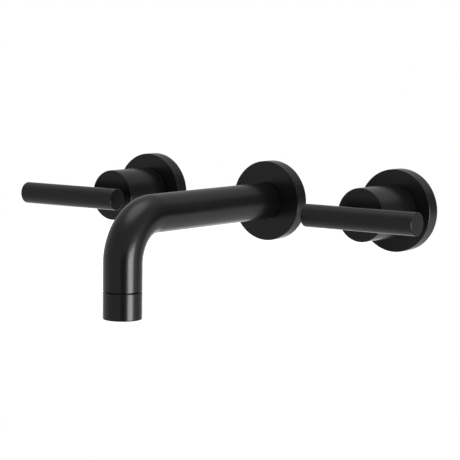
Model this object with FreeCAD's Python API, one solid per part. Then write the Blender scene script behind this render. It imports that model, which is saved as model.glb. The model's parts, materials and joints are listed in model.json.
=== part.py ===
"""Wall mounted bath faucet: two lever valves and a fixed round spout, each with its own cover plate.

Row frame, in millimetres: the finished wall is the plane Y = 0, +Y runs into the wall, -Y into
the room and +Z is up.  The origin is on the spout's centre line at the wall.

Every sub-assembly is drawn in a bench frame first: Z is the distance in front of the wall
("front", negative inside the wall), Y is up and X is across.  place() turns it into the row frame.
The hot valve is drawn with its lever to -X, and the cold valve is its mirror image.
Threads are plain cylinders at their nominal diameter.
"""
import FreeCAD, Part
import math
import os

from FreeCAD import Vector

OUT = "parts"

# ---------------------------------------------------------------- driving dimensions
HANDLE_OFFSET = 101.6     # spout axis to each valve axis, an 8 inch spread
PLATE_R = 26.75           # the three cover plates
PLATE_FRONT = 10.3
HUB_R = 17.1              # turned handle hub
HUB_FRONT = 50.2
ROD_R = 7.25              # lever rod
ROD_LENGTH = 80.6
ROD_INNER = 24.6          # from the valve axis to the rod's inner end
ROD_FRONT = 74.0          # rod centre line
POST_R = 5.0              # spacer post between hub and rod
TUBE_R = 12.25            # spout
TUBE_BORE = 9.5
REACH = 160.5
BEND_R = 29.3
DROP = 63.3
SLEEVE_HEIGHT = 16.75
SEAM = 0.7                # groove between tube and outlet sleeve

# ---------------------------------------------------------------- shared fits and sizes
FIT = 0.05                # radial clearance of a close fit or a modelled thread
EDGE = 0.6                # soft edge on the coated brass
PIPE_THREAD_R = 10.48     # G 1/2 parallel pipe thread
M5_R = 2.45
M4_R = 2.0
PLATE_FACE = 2.6          # thickness of a cover plate's face
PLATE_RIM = 2.2
GASKET = 0.8
HUB_GAP = 0.6             # between the turning hub and the fixed cover plate
CAVITY_R = PLATE_R - PLATE_RIM
CAVITY_FRONT = PLATE_FRONT - PLATE_FACE

# ---------------------------------------------------------------- valve cartridge
BARREL_R = 10.0           # external thread for the plate's retaining nut
BARREL_FRONT = 21.0
NECK_R = 8.2
MOUTH = 27.0
TAIL_END = -9.0           # end of the pipe thread
CAGE_R = 8.9
CAGE_END = -18.3
DISC_BORE = 7.6
DISC_BORE_FRONT = -6.0
STEM_R = 5.4
STEM_BORE = 5.5
LUG_HALF_ANGLE = 20.0     # fixed stop lug inside the cartridge
TRAVEL = 90.0             # quarter turn
STOP_PLAY = 1.0           # degrees left between lug and stem at each end of the travel
PORT_ANGLE = 76.0         # kidney ports in the fixed ceramic disc
SPLINE_TEETH = 20
SPLINE_R = 4.0
SPLINE_ROOT = 3.5
STEM_TIP = 36.0

# ---------------------------------------------------------------- handle
ADAPTER_R = 9.6
ADAPTER_REAR = 29.2
ADAPTER_FRONT = 40.5
GRUB_FRONT = 34.0         # grub screw that locks the hub on the adapter
SCREW_SEAT = 45.5         # inside face of the hub, under the lever screw's head
POST_SEAT = 49.0          # counterbore in the hub's front face
POST_FRONT = 69.9         # bottom of the counterbore in the rod
LEVER_SCREW = 30.0        # length under the head

# ---------------------------------------------------------------- spout
NIPPLE_TAIL = -15.0
NIPPLE_FRONT = 33.0
TUBE_REAR = 5.7
SPOUT_GRUB_FRONT = 28.5
TUBE_END = SLEEVE_HEIGHT + SEAM - DROP        # height of the tube's lower end
SLEEVE_TOP = SLEEVE_HEIGHT - DROP
SPIGOT_BOTTOM = SLEEVE_TOP - 6.75             # outlet spigot's male thread
AERATOR_R = 9.25
AERATOR_BORE = 8.0


# ================================================================ drawing tools
def outline(points):
    """Closed wire through (a, b) points in the XZ plane; a third value rounds that corner."""
    corners = [(Vector(p[0], 0, p[1]), p[2] if len(p) > 2 else 0.0) for p in points]
    starts, ends, arcs = [], [], []
    for i, (here, radius) in enumerate(corners):
        if not radius:
            starts.append(here)
            ends.append(here)
            arcs.append(None)
            continue
        back = (corners[i - 1][0] - here).normalize()
        ahead = (corners[(i + 1) % len(corners)][0] - here).normalize()
        half = back.getAngle(ahead) / 2
        first = here + back * (radius / math.tan(half))
        last = here + ahead * (radius / math.tan(half))
        centre = here + (back + ahead).normalize() * (radius / math.sin(half))
        middle = centre + (here - centre).normalize() * radius
        starts.append(first)
        ends.append(last)
        arcs.append(Part.Arc(first, middle, last).toShape())
    edges = []
    for i, arc in enumerate(arcs):
        if arc:
            edges.append(arc)
        following = starts[(i + 1) % len(starts)]
        if (following - ends[i]).Length > 1e-6:
            edges.append(Part.LineSegment(ends[i], following).toShape())
    return Part.Wire(edges)


def turned(*points):
    """Solid turned about the bench Z axis from (radius, front) points."""
    face = Part.Face(outline(points))
    return face.revolve(Vector(0, 0, 0), Vector(0, 0, 1), 360)


def rod(radius, rear, front):
    return Part.makeCylinder(radius, front - rear, Vector(0, 0, rear))


def ring(outer, inner, rear, front, soft=0.0):
    return turned((inner, rear), (outer, rear, soft), (outer, front, soft), (inner, front))


def o_ring(centre_r, section_r, front):
    return Part.makeTorus(centre_r, section_r, Vector(0, 0, front), Vector(0, 0, 1))


def prism(points, rear, front):
    """Straight prism over (x, y) points."""
    corners = [Vector(x, y, rear) for x, y in points]
    face = Part.Face(Part.makePolygon(corners + corners[:1]))
    return face.extrude(Vector(0, 0, front - rear))


def hexagon(across_flats, rear, front, x=0.0, y=0.0):
    reach = across_flats / 2 / math.cos(math.pi / 6)
    points = []
    for k in range(6):
        angle = math.radians(60 * k)
        points.append((x + reach * math.cos(angle), y + reach * math.sin(angle)))
    return prism(points, rear, front)


def sector(outer, inner, middle_deg, spread_deg, rear, front):
    """Part of a ring, spread_deg wide and centred on middle_deg from +X towards +Y."""
    wedge = Part.makeCylinder(
        outer, front - rear, Vector(0, 0, rear), Vector(0, 0, 1), spread_deg
    )
    wedge.rotate(Vector(0, 0, 0), Vector(0, 0, 1), middle_deg - spread_deg / 2)
    return wedge.cut(rod(inner, rear - 1, front + 1))


def spline_points(grow):
    """Outline of the splined drive: flat topped teeth, grown all round by a clearance."""
    points = []
    pitch = 2 * math.pi / SPLINE_TEETH
    tooth = ((0.30, SPLINE_ROOT, -1), (0.45, SPLINE_R, -1), (0.85, SPLINE_R, 1), (1.00, SPLINE_ROOT, 1))
    for k in range(SPLINE_TEETH):
        for share, radius, side in tooth:
            angle = (k + share) * pitch + side * grow / radius
            reach = radius + grow
            points.append((reach * math.cos(angle), reach * math.sin(angle)))
    return points


def socket_screw(radius, rear, front, key, key_depth, head_r=0.0, head_height=0.0):
    """Socket screw along Z with its key socket at the front; with no head it is a grub screw."""
    chamfer = 0.4
    if head_r:
        shank_front = front - head_height
        body = turned(
            (0, rear), (radius - chamfer, rear), (radius, rear + chamfer), (radius, shank_front),
            (head_r, shank_front), (head_r, front, 0.3), (0, front),
        )
    else:
        body = turned(
            (0, rear), (radius - 3 * chamfer, rear), (radius, rear + 2 * chamfer),
            (radius, front - chamfer), (radius - chamfer, front), (0, front),
        )
    return body.cut(hexagon(key, front - key_depth, front + 1))


def pointing_down(shape):
    """Turns a shape drawn along +Z so that it points down, -Y on the bench."""
    shape.rotate(Vector(0, 0, 0), Vector(1, 0, 0), 90)
    return shape


# ================================================================ cover plates
def valve_plate():
    hole = BARREL_R + 0.2
    return turned(
        (hole, CAVITY_FRONT), (CAVITY_R, CAVITY_FRONT, 1.0), (CAVITY_R, GASKET),
        (PLATE_R, GASKET, 0.3), (PLATE_R, PLATE_FRONT, EDGE), (hole, PLATE_FRONT),
    )


def spout_plate():
    """The spout's plate has a deeper boss that holds a centring O-ring around the tube."""
    hole = TUBE_R + 0.15
    boss_r, boss_rear = TUBE_R + 4.1, 5.6
    groove_r, groove_rear, groove_front = TUBE_R + 1.7, 6.7, 8.7
    return turned(
        (hole, boss_rear), (boss_r, boss_rear), (boss_r, CAVITY_FRONT),
        (CAVITY_R, CAVITY_FRONT, 1.0), (CAVITY_R, GASKET),
        (PLATE_R, GASKET, 0.3), (PLATE_R, PLATE_FRONT, EDGE), (hole, PLATE_FRONT),
        (hole, groove_front), (groove_r, groove_front), (groove_r, groove_rear), (hole, groove_rear),
    )


def plate_gasket():
    return ring(PLATE_R - 0.5, CAVITY_R - 1.5, 0.0, GASKET)


def plate_o_ring():
    section_r = 0.81
    return o_ring(TUBE_R + 0.05 + section_r, section_r, 7.7)


# ================================================================ valve cartridge
def cartridge_body():
    """Brass headwork: caged discs and pipe thread behind the wall, hexagon and barrel in front."""
    washer, collar_front, hex_front = 1.2, 2.8, 7.4
    body = turned(
        (DISC_BORE, CAGE_END), (CAGE_R, CAGE_END, 0.3), (CAGE_R, TAIL_END),
        (PIPE_THREAD_R - 0.9, TAIL_END), (PIPE_THREAD_R, TAIL_END + 0.9), (PIPE_THREAD_R, 0),
        (PIPE_THREAD_R - 0.4, 0), (PIPE_THREAD_R - 0.4, washer), (13.0, washer, 0.3),
        (13.0, collar_front, 0.3), (BARREL_R, collar_front), (BARREL_R, BARREL_FRONT - 0.6),
        (BARREL_R - 0.6, BARREL_FRONT), (NECK_R, BARREL_FRONT), (NECK_R, MOUTH, 0.4),
        (4.75, MOUTH), (4.75, MOUTH - 1.5), (STEM_BORE, MOUTH - 1.5),
        (STEM_BORE, DISC_BORE_FRONT), (DISC_BORE, DISC_BORE_FRONT),
    )
    nut = hexagon(22.0, collar_front - 0.2, hex_front).common(
        turned((0, 0), (12.9, 0), (12.9, hex_front - 1.2), (11.2, hex_front), (0, hex_front))
    )
    body = body.fuse(nut.cut(rod(BARREL_R - 0.5, 0, hex_front + 1))).removeSplitter()
    for side in (90, 270):
        window = sector(CAGE_R + 1, DISC_BORE - 0.5, side, 70, -12.4, -9.6)
        body = body.cut(window)
    # The lug meets the stem's shoulder at both ends of the quarter turn.
    lug = sector(DISC_BORE + 0.4, 6.3, 0, 2 * LUG_HALF_ANGLE, -9.2, -6.95)
    return body.fuse(lug).removeSplitter()


def stem():
    """Turning spindle: shoulder and drive tongue at the discs, splined tip in the handle."""
    shoulder_rear, shoulder_front = -9.2, -6.9
    groove_r = 3.85
    shaft = turned(
        (0, shoulder_rear), (7.3, shoulder_rear), (7.3, shoulder_front), (STEM_R, shoulder_front),
        (STEM_R, 12.0), (groove_r, 12.0), (groove_r, 14.2), (STEM_R, 14.2),
        (STEM_R, 17.0), (groove_r, 17.0), (groove_r, 19.2), (STEM_R, 19.2),
        (STEM_R, 25.2), (4.65, 25.2), (4.65, 27.3), (3.9, 27.3), (3.9, 28.3), (4.65, 28.3),
        (4.65, 28.8), (0, 28.8),
    )
    tip = prism(spline_points(0.0), 28.7, STEM_TIP)
    tip = tip.common(turned((0, 28), (5, 28), (5, STEM_TIP - 0.5), (3.5, STEM_TIP), (0, STEM_TIP)))
    tongue = Part.makeBox(10.0, 3.0, 1.5, Vector(-5.0, -1.5, shoulder_rear - 1.4))
    shaft = shaft.fuse(tip).fuse(tongue)
    shaft = shaft.cut(rod(M4_R + FIT, 26.0, STEM_TIP + 1))
    # The shoulder is cut back where the fixed lug sweeps past it; opening turns the stem
    # anticlockwise, so the clearance lies clockwise from the lug at rest.
    gap = TRAVEL + 2 * LUG_HALF_ANGLE + 2 * STOP_PLAY
    middle = -TRAVEL / 2
    shaft = shaft.cut(sector(8.5, 6.2, middle, gap, shoulder_rear - 0.01, shoulder_front + 0.01))
    return shaft.removeSplitter()


def moving_disc():
    disc = rod(7.4, -12.2, -9.3)
    for side in (90, 270):
        disc = disc.cut(sector(9.0, 3.2, side, 84, -13, -9))
    slot = Part.makeBox(10.2, 3.1, 2.5, Vector(-5.1, -1.55, -10.8))
    return disc.cut(slot)


def fixed_disc():
    disc = rod(7.5, -15.8, -12.25)
    for side in (0, 180):
        disc = disc.cut(sector(6.2, 3.2, side, PORT_ANGLE, -16, -12))
    return disc


def stem_o_rings():
    return Part.makeCompound([o_ring(4.63, 0.75, 13.1), o_ring(4.63, 0.75, 18.1)])


def circlip():
    clip = ring(6.4, 3.95, 27.4, 28.2)
    return clip.cut(Part.makeBox(4.4, 10, 3, Vector(-2.2, 0, 26)))


def retaining_nut():
    nut = turned(
        (BARREL_R + FIT, PLATE_FRONT + FIT), (13.4, PLATE_FRONT + FIT), (13.4, 14.8, 0.5),
        (BARREL_R + FIT, 14.8),
    )
    for angle in range(45, 360, 90):
        slot = Part.makeBox(3.0, 3.0, 8.0, Vector(12.0, -1.5, PLATE_FRONT - 1))
        slot.rotate(Vector(0, 0, 0), Vector(0, 0, 1), angle)
        nut = nut.cut(slot)
    return nut


# ================================================================ handle
def spline_adapter():
    socket_end, web_front = STEM_TIP + 0.4, STEM_TIP + 2.0
    body = turned(
        (0, ADAPTER_REAR), (ADAPTER_R, ADAPTER_REAR, 0.4), (ADAPTER_R, GRUB_FRONT - 3.0),
        (ADAPTER_R - 1.0, GRUB_FRONT - 2.0), (ADAPTER_R - 1.0, GRUB_FRONT + 2.0),
        (ADAPTER_R, GRUB_FRONT + 3.0), (ADAPTER_R, ADAPTER_FRONT, 0.4), (0, ADAPTER_FRONT),
    )
    body = body.cut(prism(spline_points(FIT), ADAPTER_REAR - 1, socket_end))
    body = body.cut(rod(M4_R + 0.15, socket_end - 1, web_front + 1))
    return body.cut(rod(3.8, web_front, ADAPTER_FRONT + 1))


def handle_hub():
    """Deep cup turned from bar: it covers the nut and cartridge and is locked on the adapter."""
    rear = PLATE_FRONT + HUB_GAP
    hub = turned(
        (14.3, rear), (HUB_R, rear, 0.3), (HUB_R, HUB_FRONT, 0.5), (POST_R + FIT, HUB_FRONT),
        (POST_R + FIT, POST_SEAT), (M5_R + 0.25, POST_SEAT), (M5_R + 0.25, SCREW_SEAT),
        (5.0, SCREW_SEAT), (5.0, 41.3), (ADAPTER_R + FIT, 41.3), (ADAPTER_R + FIT, 28.5),
        (14.3, 28.5),
    )
    hole = pointing_down(rod(M5_R + FIT, 8.0, HUB_R + 1))
    hole.translate(Vector(0, 0, GRUB_FRONT))
    return hub.cut(hole)


def hub_grub_screw():
    screw = pointing_down(socket_screw(M5_R, ADAPTER_R - 0.95, HUB_R - 0.8, 2.5, 2.6))
    screw.translate(Vector(0, 0, GRUB_FRONT))
    return screw


def lever_post():
    return ring(POST_R, M5_R + 0.25, POST_SEAT, POST_FRONT)


def lever_rod():
    """Solid round bar, cross drilled for the post and tapped for the lever screw."""
    outer_end = ROD_INNER - ROD_LENGTH
    bar = turned((0, outer_end), (ROD_R, outer_end, 0.5), (ROD_R, ROD_INNER, 0.5), (0, ROD_INNER))
    bar.rotate(Vector(0, 0, 0), Vector(0, 1, 0), 90)
    bar.translate(Vector(0, 0, ROD_FRONT))
    bar = bar.cut(rod(POST_R + FIT, ROD_FRONT - ROD_R - 1, POST_FRONT))
    return bar.cut(rod(M5_R + FIT, POST_FRONT - 1, SCREW_SEAT + LEVER_SCREW + 1.5))


def lever_screw():
    """Long cap screw, driven from inside the hub through the post into the rod."""
    head = 4.0
    screw = socket_screw(M5_R, 0, LEVER_SCREW + head, 4.0, 2.4, head_r=4.25, head_height=head)
    screw.rotate(Vector(0, 0, 0), Vector(1, 0, 0), 180)
    screw.translate(Vector(0, 0, SCREW_SEAT + LEVER_SCREW))
    return screw


def valve():
    """All pieces of one valve in the bench frame, lever towards -X."""
    return {
        "cover_plate": valve_plate(),
        "cover_gasket": plate_gasket(),
        "retaining_nut": retaining_nut(),
        "cartridge_body": cartridge_body(),
        "cartridge_washer": ring(12.8, PIPE_THREAD_R + 0.1, 0.0, 1.2),
        "inlet_seal": turned((4.7, -18.9), (7.0, -18.9), (7.45, -18.0), (7.45, -15.85), (4.7, -15.85)),
        "fixed_disc": fixed_disc(),
        "moving_disc": moving_disc(),
        "thrust_washer": ring(7.4, 5.6, -6.8, -6.1),
        "stem": stem(),
        "stem_o_rings": stem_o_rings(),
        "circlip": circlip(),
        "spline_adapter": spline_adapter(),
        "adapter_screw": socket_screw(M4_R, 27.5, STEM_TIP + 4.2, 2.5, 1.4, head_r=3.5, head_height=2.2),
        "handle_hub": handle_hub(),
        "hub_grub_screw": hub_grub_screw(),
        "lever_post": lever_post(),
        "lever_screw": lever_screw(),
        "lever_rod": lever_rod(),
    }


# ================================================================ spout
def spout_path():
    """Centre line of the tube: out from the wall, round the bend and down."""
    straight_end = REACH - BEND_R
    lean = math.sqrt(0.5) * BEND_R
    start = Vector(0, 0, TUBE_REAR)
    bend_start = Vector(0, 0, straight_end)
    bend_middle = Vector(0, lean - BEND_R, straight_end + lean)
    bend_end = Vector(0, -BEND_R, REACH)
    return Part.Wire([
        Part.LineSegment(start, bend_start).toShape(),
        Part.Arc(bend_start, bend_middle, bend_end).toShape(),
        Part.LineSegment(bend_end, Vector(0, TUBE_END, REACH)).toShape(),
    ])


def spout_tube():
    path = spout_path()
    solids = []
    for radius in (TUBE_R, TUBE_BORE):
        circle = Part.Wire([Part.makeCircle(radius, Vector(0, 0, TUBE_REAR), Vector(0, 0, 1))])
        solids.append(path.makePipeShell([circle], True, False))
    tube = solids[0].cut(solids[1])
    hole = pointing_down(rod(M5_R + FIT, TUBE_BORE - 2, TUBE_R + 1))
    hole.translate(Vector(0, 0, SPOUT_GRUB_FRONT))
    return tube.cut(hole)


def spout_nipple():
    """Fixed brass inlet: pipe thread in the wall, hexagon, and a plug that the tube slides over."""
    washer, hex_front = 1.5, 5.2
    plug_r, groove_r = TUBE_BORE - FIT, 7.85
    body = turned(
        (5.5, NIPPLE_TAIL), (PIPE_THREAD_R - 1.0, NIPPLE_TAIL), (PIPE_THREAD_R, NIPPLE_TAIL + 1.0),
        (PIPE_THREAD_R, 0), (PIPE_THREAD_R - 0.4, 0), (PIPE_THREAD_R - 0.4, washer),
        (plug_r, washer), (plug_r, 13.5), (groove_r, 13.5), (groove_r, 15.7), (plug_r, 15.7),
        (plug_r, 19.5), (groove_r, 19.5), (groove_r, 21.7), (plug_r, 21.7),
        (plug_r, 25.6), (8.5, 26.4), (8.5, 30.6), (plug_r, 31.4), (plug_r, NIPPLE_FRONT, 0.6),
        (5.5, NIPPLE_FRONT),
    )
    nut = hexagon(24.0, washer, hex_front).common(
        turned((0, washer), (13.2, washer), (14, washer + 0.8), (14, hex_front - 0.8),
               (13.2, hex_front), (0, hex_front))
    )
    return body.fuse(nut.cut(rod(7.0, 0, hex_front + 1))).removeSplitter()


def nipple_o_rings():
    return Part.makeCompound([o_ring(8.675, 0.8, 14.6), o_ring(8.675, 0.8, 20.6)])


def spout_grub_screw():
    screw = pointing_down(socket_screw(M5_R, 8.6, TUBE_R - 0.3, 2.5, 1.8))
    screw.translate(Vector(0, 0, SPOUT_GRUB_FRONT))
    return screw


def honeycomb(across_flats, pitch, reach, rear, front):
    """Hexagonal prisms on a triangular grid, all within reach of the axis."""
    cells = []
    rows = int(reach / pitch) + 2
    for j in range(-rows, rows + 1):
        for i in range(-rows, rows + 1):
            y = pitch * (i + j / 2)
            x = pitch * math.sqrt(0.75) * j
            if math.hypot(x, y) + across_flats * 0.58 <= reach:
                cells.append(hexagon(across_flats, rear, front, x, y))
    return Part.makeCompound(cells)


def aerator_grid(rear, front):
    return rod(7.9, rear, front).cut(honeycomb(1.7, 2.0, 7.5, rear - 1, front + 1))


def aerator_screen(rear, front):
    """One stainless screen, square openings in a thin disc."""
    pitch, opening, reach = 1.6, 1.1, 7.3
    count = int(reach / pitch) + 1
    holes = []
    for i in range(-count, count + 1):
        for j in range(-count, count + 1):
            x, y = i * pitch, j * pitch
            if math.hypot(abs(x) + opening / 2, abs(y) + opening / 2) <= reach:
                corner = Vector(x - opening / 2, y - opening / 2, rear - 1)
                holes.append(Part.makeBox(opening, opening, front - rear + 2, corner))
    return rod(7.9, rear, front).cut(Part.makeCompound(holes))


def aerator_diffuser(bottom, top):
    """Jet plate with two rings of small drillings, on a skirt that holds the screens down."""
    plate = 1.3
    body = turned((7.0, bottom), (7.9, bottom), (7.9, top), (0, top), (0, top - plate), (7.0, top - plate))
    holes = []
    for circle_r, count in ((3.0, 8), (5.8, 16)):
        for k in range(count):
            angle = 2 * math.pi * k / count
            centre = Vector(circle_r * math.cos(angle), circle_r * math.sin(angle), bottom)
            holes.append(Part.makeCylinder(0.5, top - bottom + 1, centre))
    return body.cut(Part.makeCompound(holes))


def outlet():
    """Outlet pieces, turned about Z with Z as height below the spout's axis plane."""
    plug_r = TUBE_BORE - FIT
    spigot = turned(
        (7.4, SPIGOT_BOTTOM), (BARREL_R - 0.5, SPIGOT_BOTTOM), (BARREL_R, SPIGOT_BOTTOM + 0.5),
        (BARREL_R, TUBE_END - FIT), (plug_r, TUBE_END - FIT), (plug_r, TUBE_END + 10.0),
        (7.4, TUBE_END + 10.0),
    )
    ledge = SPIGOT_BOTTOM - 2.7
    housing_bottom = 1.3 - DROP
    sleeve = turned(
        (BARREL_R + FIT, SLEEVE_TOP), (TUBE_R, SLEEVE_TOP, 0.25), (TUBE_R, -DROP, EDGE),
        (8.2, -DROP, 0.3), (8.2, housing_bottom - 0.1), (AERATOR_R + 0.1, housing_bottom - 0.1),
        (AERATOR_R + 0.1, ledge), (BARREL_R + FIT, ledge),
    )
    housing = turned(
        (AERATOR_BORE, SPIGOT_BOTTOM - 1.55), (9.9, SPIGOT_BOTTOM - 1.55), (9.9, ledge + FIT),
        (AERATOR_R, ledge + FIT), (AERATOR_R, housing_bottom), (7.5, housing_bottom),
        (7.5, housing_bottom + 0.4), (AERATOR_BORE, housing_bottom + 0.4),
    )
    screens = Part.makeCompound([
        aerator_screen(housing_bottom + 2.05, housing_bottom + 2.35),
        aerator_screen(housing_bottom + 2.45, housing_bottom + 2.75),
    ])
    return {
        "outlet_spigot": spigot,
        "outlet_sleeve": sleeve,
        "aerator_washer": ring(9.95, 7.0, SPIGOT_BOTTOM - 1.5, SPIGOT_BOTTOM),
        "aerator_housing": housing,
        "aerator_diffuser": aerator_diffuser(housing_bottom + 2.8, housing_bottom + 7.1),
        "aerator_screens": screens,
        "aerator_grid": aerator_grid(housing_bottom + 0.45, housing_bottom + 2.0),
    }


def spout():
    """All pieces of the spout in the bench frame."""
    pieces = {
        "spout_cover_plate": spout_plate(),
        "spout_cover_gasket": plate_gasket(),
        "spout_cover_o_ring": plate_o_ring(),
        "spout_nipple": spout_nipple(),
        "spout_nipple_washer": ring(13.0, PIPE_THREAD_R + 0.1, 0.0, 1.5),
        "spout_nipple_o_rings": nipple_o_rings(),
        "spout_tube": spout_tube(),
        "spout_grub_screw": spout_grub_screw(),
    }
    for name, shape in outlet().items():
        shape.rotate(Vector(0, 0, 0), Vector(1, 0, 0), -90)
        shape.translate(Vector(0, 0, REACH))
        pieces[name] = shape
    return pieces


# ================================================================ row frame and export
def place(shape, x=0.0, mirrored=False):
    """Bench frame to row frame: front becomes -Y and up becomes +Z."""
    placed = shape.mirror(Vector(0, 0, 0), Vector(1, 0, 0)) if mirrored else shape.copy()
    placed.rotate(Vector(0, 0, 0), Vector(1, 0, 0), 90)
    placed.translate(Vector(x, 0, 0))
    return placed


def main():
    os.makedirs(OUT, exist_ok=True)
    nodes = {name: place(shape) for name, shape in spout().items()}
    for name, shape in valve().items():
        nodes["hot_" + name] = place(shape, -HANDLE_OFFSET)
        nodes["cold_" + name] = place(shape, HANDLE_OFFSET, mirrored=True)
    for name, shape in nodes.items():
        if not shape.isValid() or any(s.Volume <= 0 for s in shape.Solids):
            raise ValueError(name + " is not a sound solid")
        shape.exportStep(os.path.join(OUT, name + ".step"))
        print("%-24s %d solid(s) %9.1f mm3" % (name, len(shape.Solids), shape.Volume))


main()
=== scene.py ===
"""Looks of a wall mounted bath faucet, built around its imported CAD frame.

Pieces are drawn in a bench frame in millimetres: Z is the distance in front of the wall, Y is up
and X is across.  The outlet's pieces are drawn upright, with Z as height.  finished() turns each
piece into the row frame in metres, where the front is -Y and up is +Z.
"""
import json
import math
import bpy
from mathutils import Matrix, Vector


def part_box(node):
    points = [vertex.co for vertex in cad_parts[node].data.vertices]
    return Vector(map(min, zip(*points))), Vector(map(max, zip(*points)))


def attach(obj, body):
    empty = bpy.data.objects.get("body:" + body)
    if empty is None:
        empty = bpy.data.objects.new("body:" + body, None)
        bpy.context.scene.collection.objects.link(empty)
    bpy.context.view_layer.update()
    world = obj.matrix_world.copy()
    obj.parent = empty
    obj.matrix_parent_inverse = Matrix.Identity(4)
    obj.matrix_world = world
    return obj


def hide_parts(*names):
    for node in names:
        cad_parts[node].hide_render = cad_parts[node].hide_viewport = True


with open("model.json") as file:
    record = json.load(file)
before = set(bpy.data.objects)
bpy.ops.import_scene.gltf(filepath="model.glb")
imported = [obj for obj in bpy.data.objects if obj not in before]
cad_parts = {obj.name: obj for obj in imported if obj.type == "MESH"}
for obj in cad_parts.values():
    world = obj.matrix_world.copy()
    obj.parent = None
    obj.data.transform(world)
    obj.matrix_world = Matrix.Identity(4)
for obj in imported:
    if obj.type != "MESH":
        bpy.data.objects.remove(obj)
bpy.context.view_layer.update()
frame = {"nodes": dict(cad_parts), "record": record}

from types import SimpleNamespace

import bmesh
import bpy
from mathutils import Matrix, Vector

MM = 0.001
TAU = 2 * math.pi
COLUMNS = 144             # quads round a turned piece
THREAD_COLUMNS = 96       # a multiple of six, so that hexagon corners fall on columns
FILLET_STEPS = 6
SHARP = math.radians(28)  # edges sharper than this stay crisp
WELD = 2e-4
WIRE_SIDES = 6

FIT = 0.05                # gap between pieces that slide together
THREAD_DEPTH = 0.61       # of the pitch
PIPE_CREST, PIPE_ROOT, PIPE_PITCH = 10.48, 9.32, 1.814   # G 1/2
BARREL_R, BARREL_ROOT, BARREL_PITCH = 10.0, 9.39, 1.0    # M20 x 1
M5_R, M5_PITCH, M5_GRUB_KEY = 2.45, 0.8, 2.5
M4_R, M4_PITCH = 2.0, 0.7
SPLINE_TEETH, SPLINE_ROOT, SPLINE_TIP = 20, 3.5, 4.0
TUBE_BORE, PLUG_R = 9.5, 9.45
PLATE_FACE, PLATE_RIM, CAVITY_SOFT, PLATE_EDGE = 2.6, 2.2, 1.0, 0.6

RECORD = frame["record"]
BODY_OF = {node: body for body, nodes in RECORD["behaviour"]["bodies"].items() for node in nodes}
SLOT_OF = {part["node"]: part["material_slot"] for part in RECORD["subparts"]}
SIDES = ("hot_", "cold_")


def span(node):
    """Where a CAD node lies, in millimetres on the bench."""
    low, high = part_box(node)
    return SimpleNamespace(
        x=(low.x + high.x) / 2 / MM, left=low.x / MM, right=high.x / MM,
        rear=-high.y / MM, front=-low.y / MM,
        bottom=low.z / MM, top=high.z / MM, r=(high.x - low.x) / 2 / MM,
    )


# ================================================================ turned sections
def section(*corners):
    """Ring list of a turned piece from (radius, front) corners; a third value rounds a corner."""
    points = []
    for i, corner in enumerate(corners):
        here = Vector(corner[:2])
        if len(corner) < 3:
            points.append(tuple(here))
            continue
        back = (Vector(corners[i - 1][:2]) - here).normalized()
        ahead = (Vector(corners[(i + 1) % len(corners)][:2]) - here).normalized()
        half = back.angle(ahead) / 2
        centre = here + (back + ahead).normalized() * (corner[2] / math.sin(half))
        first = here + back * (corner[2] / math.tan(half)) - centre
        turn = math.pi - 2 * half
        side = 1 if back.x * ahead.y - back.y * ahead.x < 0 else -1
        for step in range(FILLET_STEPS + 1):
            swing = Matrix.Rotation(side * turn * step / FILLET_STEPS, 2)
            points.append(tuple(centre + swing @ first))
    return points


def thread(crest, root, start, end, pitch):
    """Rings of a right hand thread from start to end, which runs out on a cone at both ends."""
    form = ((0.00, root), (0.10, root), (0.42, crest), (0.58, crest), (0.90, root))
    grow = 1 if crest > root else -1

    def ring(turn, share, radius):
        def point(angle):
            front = start + (turn + share - 1 + angle / TAU) * pitch
            front = min(max(front, start), end)
            depth = min(abs(radius - root), front - start, end - front)
            return root + grow * depth, front
        return point

    turns = int((end - start) / pitch) + 3
    return [ring(turn, share, radius) for turn in range(turns) for share, radius in form]


def hex_radius(angle, across_flats):
    return across_flats / 2 / math.cos(angle % (TAU / 6) - TAU / 12)


def hex_ring(across_flats, front, bevel_r=None, side=0):
    """Hexagonal ring; with a bevel radius its corners drop away, as on a turned nut."""
    def point(angle):
        radius = hex_radius(angle, across_flats)
        drop = max(0.0, radius - bevel_r) * math.tan(math.radians(30)) if bevel_r else 0.0
        return radius, front - side * drop
    return point


def hex_nut(across_flats, rear, front):
    bevel_r = across_flats / 2 * 1.01
    return [
        (bevel_r, rear), hex_ring(across_flats, rear, bevel_r, -1),
        hex_ring(across_flats, front, bevel_r, 1), (bevel_r, front),
    ]


def socket(key, mouth, depth):
    """Hexagonal key socket that opens to the front, ending in a drill point."""
    return [
        (key * 0.62, mouth), hex_ring(key, mouth - 0.06 * key), hex_ring(key, mouth - depth),
        (0, mouth - depth - key * 0.2),
    ]


def ridged(radius, depth, front, ridges=48):
    """Ring of a straight knurl."""
    return lambda angle: (radius - depth * (0.5 - 0.5 * math.cos(ridges * angle)), front)


# ================================================================ meshes
def even(count):
    return [TAU * i / count for i in range(count)]


def skin(bm, grid, closed):
    """Quads over rows of points; coincident points are welded."""
    rows = [[bm.verts.new(point) for point in row] for row in grid]
    for j in range(len(rows) if closed else len(rows) - 1):
        here, there = rows[j], rows[(j + 1) % len(rows)]
        for i in range(len(here) - 1):
            bm.faces.new((here[i], here[i + 1], there[i + 1], there[i]))
    bmesh.ops.remove_doubles(bm, verts=bm.verts, dist=WELD)


def turned(rings, angles=None, closed=True, bm=None):
    """Turned solid about Z from (radius, front) rings or functions of the angle."""
    bm = bm or bmesh.new()
    angles = angles or even(COLUMNS)
    grid = []
    for ring in rings:
        row = []
        for angle in angles + [angles[0] + TAU]:
            radius, front = ring(angle) if callable(ring) else ring
            row.append((radius * math.cos(angle), radius * math.sin(angle), front))
        grid.append(row)
    skin(bm, grid, closed)
    bmesh.ops.recalc_face_normals(bm, faces=bm.faces)
    return bm


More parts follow.
